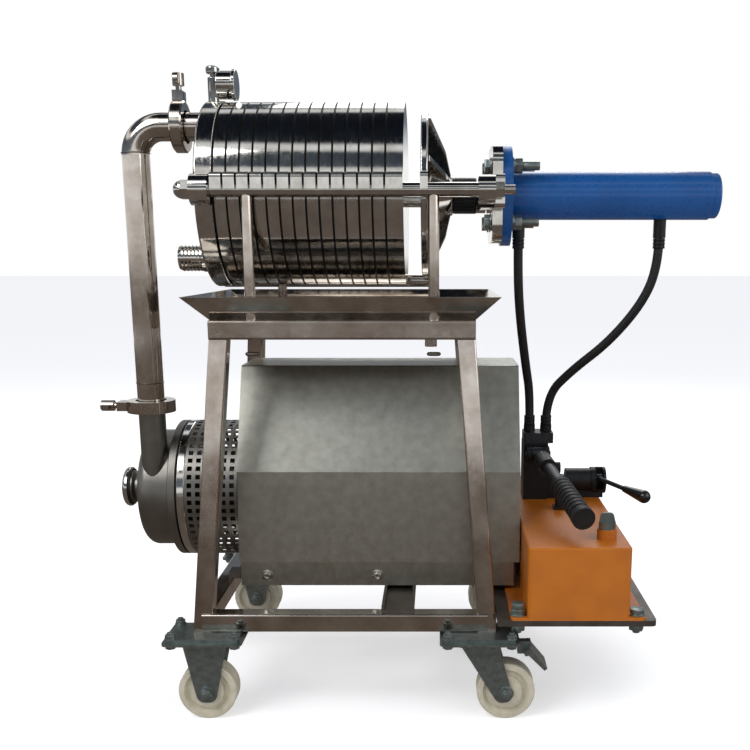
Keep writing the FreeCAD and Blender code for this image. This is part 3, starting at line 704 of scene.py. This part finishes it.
@dataclass
class CasterFasteners:
    """Plate bolts and axle nuts of the four casters."""

    # From a caster's middle to its plate's bolts.
    spacing_x: float = 43 * MM
    spacing_y: float = 27 * MM
    # From the plates' ends, and from the trolley's middle, to the casters.
    inset_x: float = 54 * MM
    track_half: float = 188 * MM
    plate_depth: float = 7.2 * MM
    washer_radius: float = 8 * MM
    across: float = 7.4 * MM
    stud_radius: float = 4 * MM
    ease: float = 0.5 * MM
    axle_washer_radius: float = 10.5 * MM
    axle_across: float = 9.2 * MM
    axle_radius: float = 5.5 * MM
    axle_ease: float = 0.7 * MM
    # From a wheel's side to the outside of its fork.
    fork_reach: float = 5 * MM

    def build(self) -> None:
        """Model the plate bolts, their nuts and the axle nuts."""
        plate_low, plate_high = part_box("caster_plates")
        rail_low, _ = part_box("base_long_rails")
        under = rail_low.z - self.plate_depth
        centres = []
        for y in (-self.track_half, self.track_half):
            centres.append(Vector((plate_low.x + self.inset_x, y, 0)))
            centres.append(Vector((plate_high.x - self.inset_x, y, 0)))
        spots = []
        for centre in centres:
            for x in (-self.spacing_x, self.spacing_x):
                for y in (-self.spacing_y, self.spacing_y):
                    spots.append(centre + Vector((x, y, 0)))
        head = stack(
            "caster_bolt",
            [(self.washer_radius, 1.4 * MM, SMALL_ROUND), (self.across, 5 * MM, HEXAGON)],
            self.ease,
        )
        aims = [facing(Vector((s.x, s.y, under)), DOWN, 0.35 * i) for i, s in enumerate(spots)]
        copies(head, aims, "frame", Finishes.ZINC)
        nut = stack(
            "caster_nut",
            [
                (self.washer_radius, 1.2 * MM, SMALL_ROUND),
                (self.across, 5 * MM, HEXAGON),
                (self.stud_radius, 3 * MM, THIN_ROUND),
            ],
            self.ease,
        )
        aims = [
            facing(Vector((s.x, s.y, rail_low.z)), -DOWN, 0.2 * i) for i, s in enumerate(spots)
        ]
        copies(nut, aims, "frame", Finishes.ZINC)
        self.axles()

    def axles(self) -> None:
        """Model the nuts on both ends of each wheel's axle."""
        rides = {
            "wheel_left_front": "frame",
            "wheel_left_back": "frame",
            "wheel_right_front": "fork_front",
            "wheel_right_back": "fork_back",
        }
        for wheel, body in rides.items():
            low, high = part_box(wheel)
            centre = (low + high) / 2
            reach = (high.y - low.y) / 2 + self.fork_reach
            nut = stack(
                f"axle_nut_{wheel.removeprefix('wheel_')}",
                [
                    (self.axle_washer_radius, 1.4 * MM, ROUND),
                    (self.axle_across, 7 * MM, HEXAGON),
                    (self.axle_radius, 2.5 * MM, THIN_ROUND),
                ],
                self.axle_ease,
            )
            aims = []
            for side in (-1, 1):
                spot = centre + Vector((0, side * reach, 0))
                aims.append(facing(spot, Vector((0, side, 0)), 0.4))
            copies(nut, aims, body, Finishes.ZINC)


@dataclass
class CoverFasteners:
    """Socket screws along the skirt of the motor cover."""

    from_left: tuple[float, float] = (38 * MM, 198 * MM)
    radius: float = 5.2 * MM
    washer_radius: float = 8.4 * MM
    collar_radius: float = 6.2 * MM
    ease: float = 0.6 * MM
    socket_radius: float = 2.6 * MM
    socket_depth: float = 4 * MM
    socket_floor: float = 4.4 * MM
    socket_ease: float = 0.05 * MM
    # The row sits this far below the skirt's middle.
    row_drop: float = 2 * MM

    def build(self) -> None:
        """Model the screws on both sides."""
        low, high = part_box("cover_base")
        screw = stack(
            "skirt_screw",
            [
                (self.washer_radius, 1.4 * MM, ROUND),
                (self.collar_radius, 1.0 * MM, ROUND),
                (self.radius, 4.5 * MM, ROUND),
            ],
            self.ease,
        )
        socket = stack(
            "socket", [(self.socket_radius, self.socket_depth, HEXAGON)], self.socket_ease
        )
        socket.data.transform(Matrix.Translation((0, 0, self.socket_floor)))
        apply_modifier(screw, "BOOLEAN", object=socket, operation="DIFFERENCE")
        bpy.data.objects.remove(socket)
        middle = (low.z + high.z) / 2 - self.row_drop
        aims = []
        for reach in self.from_left:
            x = low.x + reach
            aims.append(facing(Vector((x, low.y, middle)), Vector((0, -1, 0)), 0.2))
            aims.append(facing(Vector((x, high.y, middle)), Vector((0, 1, 0)), 0.2))
        copies(screw, aims, "frame", Finishes.TURNED)


@dataclass
class Welds:
    """Fillet beads where tubes and posts are welded."""

    bead: float = 2.2 * MM
    post_radius: float = 7.2 * MM
    # From the low end of drip_tray's box to a post's bead.
    post_lift: float = 2.2 * MM
    pipe_radius: float = 19.05 * MM
    pipe_bead: float = 0.9 * MM
    # From the riser's left side to its vertical run's middle.
    pipe_inset: float = 25.25 * MM
    # From the riser's lower and upper ends to its beads.
    pipe_below: float = 34 * MM
    pipe_above: float = 60 * MM
    # A bead swells by this share, this many times round.
    ripple_share: float = 0.12
    ripple_count: int = 24

    def build(self) -> None:
        """Bead rings below the rod posts and round the riser's joints."""
        low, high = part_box("rod_posts")
        tray_low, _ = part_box("drip_tray")
        radius = self.post_radius
        posts = [
            Vector((x, y, tray_low.z + self.post_lift))
            for x in (low.x + radius, high.x - radius)
            for y in (low.y + radius, high.y - radius)
        ]
        for number, place in enumerate(posts, 1):
            self.ring(f"post_weld_{number}", place, radius, self.bead)
        pipe_low, pipe_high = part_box("riser_pipe")
        x = pipe_low.x + self.pipe_inset
        y = (pipe_low.y + pipe_high.y) / 2
        joints = (pipe_low.z + self.pipe_below, pipe_high.z - self.pipe_above)
        for number, z in enumerate(joints, 1):
            self.ring(
                f"riser_weld_{number}", Vector((x, y, z)), self.pipe_radius, self.pipe_bead
            )

    def ring(self, name: str, place: Vector, radius: float, bead: float) -> None:
        """Model one rippled bead round a vertical tube.

        Args:
            name: Name of the bead.
            place: Centre of the ring.
            radius: Radius of the tube.
            bead: Thickness of the bead.
        """
        deselect()
        bpy.ops.mesh.primitive_torus_add(
            major_segments=96,
            minor_segments=10,
            major_radius=radius,
            minor_radius=bead,
            location=place,
        )
        piece = bpy.context.object
        piece.name = name
        bpy.ops.object.transform_apply()
        for vertex in piece.data.vertices:
            flat = Vector((vertex.co.x - place.x, vertex.co.y - place.y, 0))
            angle = math.atan2(flat.y, flat.x)
            ripple = 1.0 + self.ripple_share * math.sin(self.ripple_count * angle)
            middle = place + flat.normalized() * radius
            vertex.co = middle + (vertex.co - middle) * ripple
        bpy.ops.object.shade_smooth()
        settle(piece, "frame", Finishes.PLATE)


@dataclass
class Hoses:
    """The two hydraulic hoses and their end fittings."""

    radius: float = 6.75 * MM
    press_length: float = 0.3005
    press_route: tuple[tuple[float, float, float], ...] = (
        (244, 0, 652),
        (244, 0, 600),
        (250, 16, 535),
        (263, 52, 460),
        (272, 70, 415),
        (272, 70, 366),
    )
    return_length: float = 0.3475
    return_route: tuple[tuple[float, float, float], ...] = (
        (448, 0, 652),
        (448, 0, 612),
        (430, 6, 560),
        (385, 24, 500),
        (335, 50, 455),
        (298, 70, 412),
        (298, 70, 366),
    )
    ferrule_bands: int = 3
    band_radius: float = 8.6 * MM
    band_height: float = 4 * MM
    groove_radius: float = 8.1 * MM
    groove_height: float = 1.2 * MM
    ferrule_ease: float = 0.5 * MM

    def build(self) -> None:
        """Lay the hoses and model their crimped ends."""
        for name, route, length in (
            ("hose_1", self.press_route, self.press_length),
            ("hose_2", self.return_route, self.return_length),
        ):
            points = [Vector(p) * MM for p in route]
            hose = self.curve(f"{name}_line", points)
            ends = [self.fitting(f"{name}_top_fitting", points[0], True)]
            ends.append(self.fitting(f"{name}_pump_fitting", points[-1], False))
            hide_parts(name)
            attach(hose, "frame")
            log.info("piece %s", hose.name)

    def curve(self, name: str, points: list[Vector]) -> bpy.types.Object:
        """Smooth round hose with the route's points as control points.

        Args:
            name: Name of the hose.
            points: The route's points.

        Returns:
            The hose's curve object.
        """
        data = bpy.data.curves.new(name, "CURVE")
        data.dimensions = "3D"
        spline = data.splines.new("NURBS")
        spline.points.add(len(points) - 1)
        for point, place in zip(spline.points, points):
            point.co = (*place, 1.0)
        spline.order_u = 3
        spline.use_endpoint_u = True
        spline.resolution_u = 16
        data.bevel_depth = self.radius
        data.bevel_resolution = 6
        data.use_fill_caps = True
        data.materials.append(Finishes.RUBBER.value.material())
        hose = bpy.data.objects.new(name, data)
        bpy.context.scene.collection.objects.link(hose)
        return hose

    def fitting(self, name: str, end: Vector, top: bool) -> bpy.types.Object:
        """Crimped ferrule over the hose's end.

        Args:
            name: Name of the fitting.
            end: End of the hose.
            top: Whether that is the hose's upper end.

        Returns:
            The fitting.
        """
        band = (self.band_radius, self.band_height, ROUND)
        groove = (self.groove_radius, self.groove_height, ROUND)
        steps = [band] + [groove, band] * (self.ferrule_bands - 1)
        piece = stack(name, steps, self.ferrule_ease)
        aim = DOWN if top else UP
        piece.data.transform(facing(end + aim * 0.5 * MM, aim))
        settle(piece, "frame", Finishes.BLACKED)
        return piece


# Studio ---------------------------------------------------------------------


@dataclass
class Studio:
    """Pale floor, soft lamps, glowing cloths that only reflections see and that paint reflections
    into the metal, and the camera.
    """

    floor_half: float = 30.0
    floor_level: float = -0.0005
    floor_hex: str = "#f2f2f2"
    floor_glow: float = 0.45
    sky_hex: str = "#f4f6ff"
    sky_strength: float = 0.55
    # Name, place, side in metres and power in watts.
    lamps: tuple[tuple[str, tuple[float, float, float], float, float], ...] = (
        ("key_lamp", (-1.6, -1.8, 2.6), 1.6, 42.0),
        ("fill_lamp", (2.2, -1.2, 1.6), 1.8, 18.0),
        ("back_lamp", (0.3, 2.2, 2.2), 1.6, 22.0),
    )
    lamp_aim: tuple[float, float, float] = (0.05, 0, 0.45)
    camera_place: tuple[float, float, float] = (0.12852, -1.4353, 0.62691)
    pitch: float = 0.2119
    lens: float = 46.29
    sensor_width: float = 36.0
    shift: tuple[float, float] = (-0.0849, 0.1177)
    mat_level: float = -0.0002
    mat_share: float = 0.9
    # Colour of the painted reflection of a brown ground.
    mat_hex: str = "#6b625b"
    room_radius: float = 7.0
    # Painted reflections: share of the room's height, and the colour painted there; the white
    # bands are painted highlights.
    room_bands: tuple[tuple[float, str], ...] = (
        (0.0, "#7d746c"),
        (0.07, "#8f8a85"),
        (0.09, "#f6f6f6"),
        (0.2, "#ffffff"),
        (0.24, "#6d7680"),
        (0.45, "#59636e"),
        (0.49, "#ffffff"),
        (0.56, "#ffffff"),
        (0.6, "#4a545f"),
        (0.8, "#39424c"),
        (0.84, "#f4f6f8"),
        (0.88, "#f4f6f8"),
        (0.91, "#1c222b"),
        (1.0, "#14181f"),
    )

    def seen_directly(self, tree: bpy.types.NodeTree) -> bpy.types.NodeSocket:
        """Tell rays that show a surface from rays that only light others.

        Args:
            tree: Node tree that gets the nodes.

        Returns:
            The socket that is 1 for camera, glossy and transmission rays.
        """
        path = add_node(tree, "ShaderNodeLightPath")
        first = add_node(
            tree,
            "ShaderNodeMath",
            {"operation": "MAXIMUM"},
            {0: path.outputs["Is Camera Ray"], 1: path.outputs["Is Glossy Ray"]},
        )
        both = add_node(
            tree,
            "ShaderNodeMath",
            {"operation": "MAXIMUM"},
            {0: first.outputs[0], 1: path.outputs["Is Transmission Ray"]},
        )
        return both.outputs[0]

    def floor(self) -> None:
        """Lay the floor, white to the eye and pale to the light."""
        deselect()
        bpy.ops.mesh.primitive_plane_add(
            size=2 * self.floor_half, location=(0, 0, self.floor_level)
        )
        plane = bpy.context.object
        plane.name = "floor"
        made, tree = blank_material("matt floor paint")
        matt = add_node(tree, "ShaderNodeBsdfDiffuse", inputs={"Color": linear(self.floor_hex)})
        glow = add_node(tree, "ShaderNodeEmission", inputs={"Strength": self.floor_glow})
        lit = add_node(
            tree, "ShaderNodeAddShader", inputs={0: matt.outputs[0], 1: glow.outputs[0]}
        )
        choice = add_node(
            tree,
            "ShaderNodeMixShader",
            inputs={0: self.seen_directly(tree), 1: matt.outputs[0], 2: lit.outputs[0]},
        )
        add_node(tree, "ShaderNodeOutputMaterial", inputs={"Surface": choice.outputs[0]})
        plane.data.materials.append(made)

    def sky(self) -> None:
        """Plain light from all round, with a white backdrop to the eye."""
        world = bpy.data.worlds.new("studio")
        bpy.context.scene.world = world
        world.use_nodes = True
        tree = world.node_tree
        tree.nodes.clear()
        soft = add_node(
            tree,
            "ShaderNodeBackground",
            inputs={"Color": linear(self.sky_hex), "Strength": self.sky_strength},
        )
        white = add_node(
            tree, "ShaderNodeBackground", inputs={"Color": (1, 1, 1, 1), "Strength": 1.0}
        )
        choice = add_node(
            tree,
            "ShaderNodeMixShader",
            inputs={0: self.seen_directly(tree), 1: soft.outputs[0], 2: white.outputs[0]},
        )
        add_node(tree, "ShaderNodeOutputWorld", inputs={"Surface": choice.outputs[0]})

    def lamp(
        self, name: str, place: tuple[float, float, float], size: float, power: float
    ) -> None:
        """Hang a square soft lamp that looks at the press.

        Args:
            name: Name of the lamp.
            place: Where it hangs.
            size: Side of the lamp.
            power: Its power in watts.
        """
        data = bpy.data.lights.new(name, "AREA")
        data.energy = power
        data.size = size
        lamp = bpy.data.objects.new(name, data)
        lamp.location = place
        aim = Vector(self.lamp_aim) - Vector(place)
        lamp.rotation_euler = aim.to_track_quat("-Z", "Y").to_euler()
        bpy.context.scene.collection.objects.link(lamp)

    def banded_cloth(self) -> bpy.types.Material:
        """Glowing cloth whose tone changes with height: painted reflections, its white bands
        painted highlights.

        Returns:
            The material.
        """
        made, tree = blank_material("banded backdrop cloth")
        place = add_node(tree, "ShaderNodeTexCoord")
        parts = add_node(tree, "ShaderNodeSeparateXYZ", inputs={0: place.outputs["Object"]})
        share = add_node(
            tree,
            "ShaderNodeMapRange",
            inputs={"Value": parts.outputs["Z"], "From Min": 0.0, "From Max": self.room_radius},
        )
        # Painted reflection bands, by height, white ones painted highlights.
        ramp = add_node(tree, "ShaderNodeValToRGB", inputs={0: share.outputs["Result"]})
        bands = ramp.color_ramp
        while len(bands.elements) > 1:
            bands.elements.remove(bands.elements[-1])
        bands.elements[0].position = 0.0
        bands.elements[0].color = linear(self.room_bands[0][1])
        for height, tone in self.room_bands[1:]:
            bands.elements.new(height).color = linear(tone)
        glow = add_node(
            tree, "ShaderNodeEmission", inputs={"Color": ramp.outputs["Color"], "Strength": 1.0}
        )
        add_node(tree, "ShaderNodeOutputMaterial", inputs={"Surface": glow.outputs[0]})
        return made

    def brown_mat(self) -> bpy.types.Material:
        """Glowing mat of one tone, a painted reflection of a brown ground that only glossy rays
        see.

        Returns:
            The material.
        """
        made, tree = blank_material("brown mat")
        glow = add_node(
            tree, "ShaderNodeEmission", inputs={"Color": linear(self.mat_hex), "Strength": 1.0}
        )
        add_node(tree, "ShaderNodeOutputMaterial", inputs={"Surface": glow.outputs[0]})
        return made

    def reflected_room(self) -> None:
        """Hang the cloth and lay the mat, whose painted reflections give the metal its contrast.
        """
        deselect()
        bpy.ops.mesh.primitive_uv_sphere_add(
            segments=48, ring_count=32, radius=self.room_radius, location=(0, 0, 0)
        )
        room = bpy.context.object
        room.name = "reflected_room"
        self.reflected_only(room, self.banded_cloth())
        deselect()
        bpy.ops.mesh.primitive_circle_add(
            vertices=64,
            radius=self.room_radius * self.mat_share,
            fill_type="NGON",
            location=(0, 0, self.mat_level),
        )
        mat = bpy.context.object
        mat.name = "reflected_mat"
        self.reflected_only(mat, self.brown_mat())

    def reflected_only(self, cloth: bpy.types.Object, made: bpy.types.Material) -> None:
        """Let only glossy rays see a cloth.

        Args:
            cloth: The cloth.
            made: Its material.
        """
        cloth.data.materials.append(made)
        cloth.visible_camera = False
        cloth.visible_diffuse = False
        cloth.visible_transmission = False
        cloth.visible_shadow = False

    def camera(self) -> None:
        """Place the camera."""
        data = bpy.data.cameras.new("camera")
        data.sensor_width = self.sensor_width
        data.lens = self.lens
        data.shift_x, data.shift_y = self.shift
        camera = bpy.data.objects.new("camera", data)
        camera.location = self.camera_place
        camera.rotation_euler = (math.pi / 2 - self.pitch, 0, 0)
        bpy.context.scene.collection.objects.link(camera)
        bpy.context.scene.camera = camera

    def build(self) -> None:
        """Set the whole studio up."""
        self.camera()
        self.floor()
        self.sky()
        for lamp in self.lamps:
            self.lamp(*lamp)
        self.reflected_room()
        bpy.context.scene.view_settings.view_transform = "Standard"


def main() -> None:
    """Build every piece, then the studio."""
    logging.basicConfig(level=logging.INFO, format="%(message)s")
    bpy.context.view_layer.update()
    Studio().build()
    dress_nodes()
    Hoses().build()
    PressFasteners().build()
    ShelfFasteners().build()
    CasterFasteners().build()
    CoverFasteners().build()
    Welds().build()


if __name__ == "__main__":
    main()
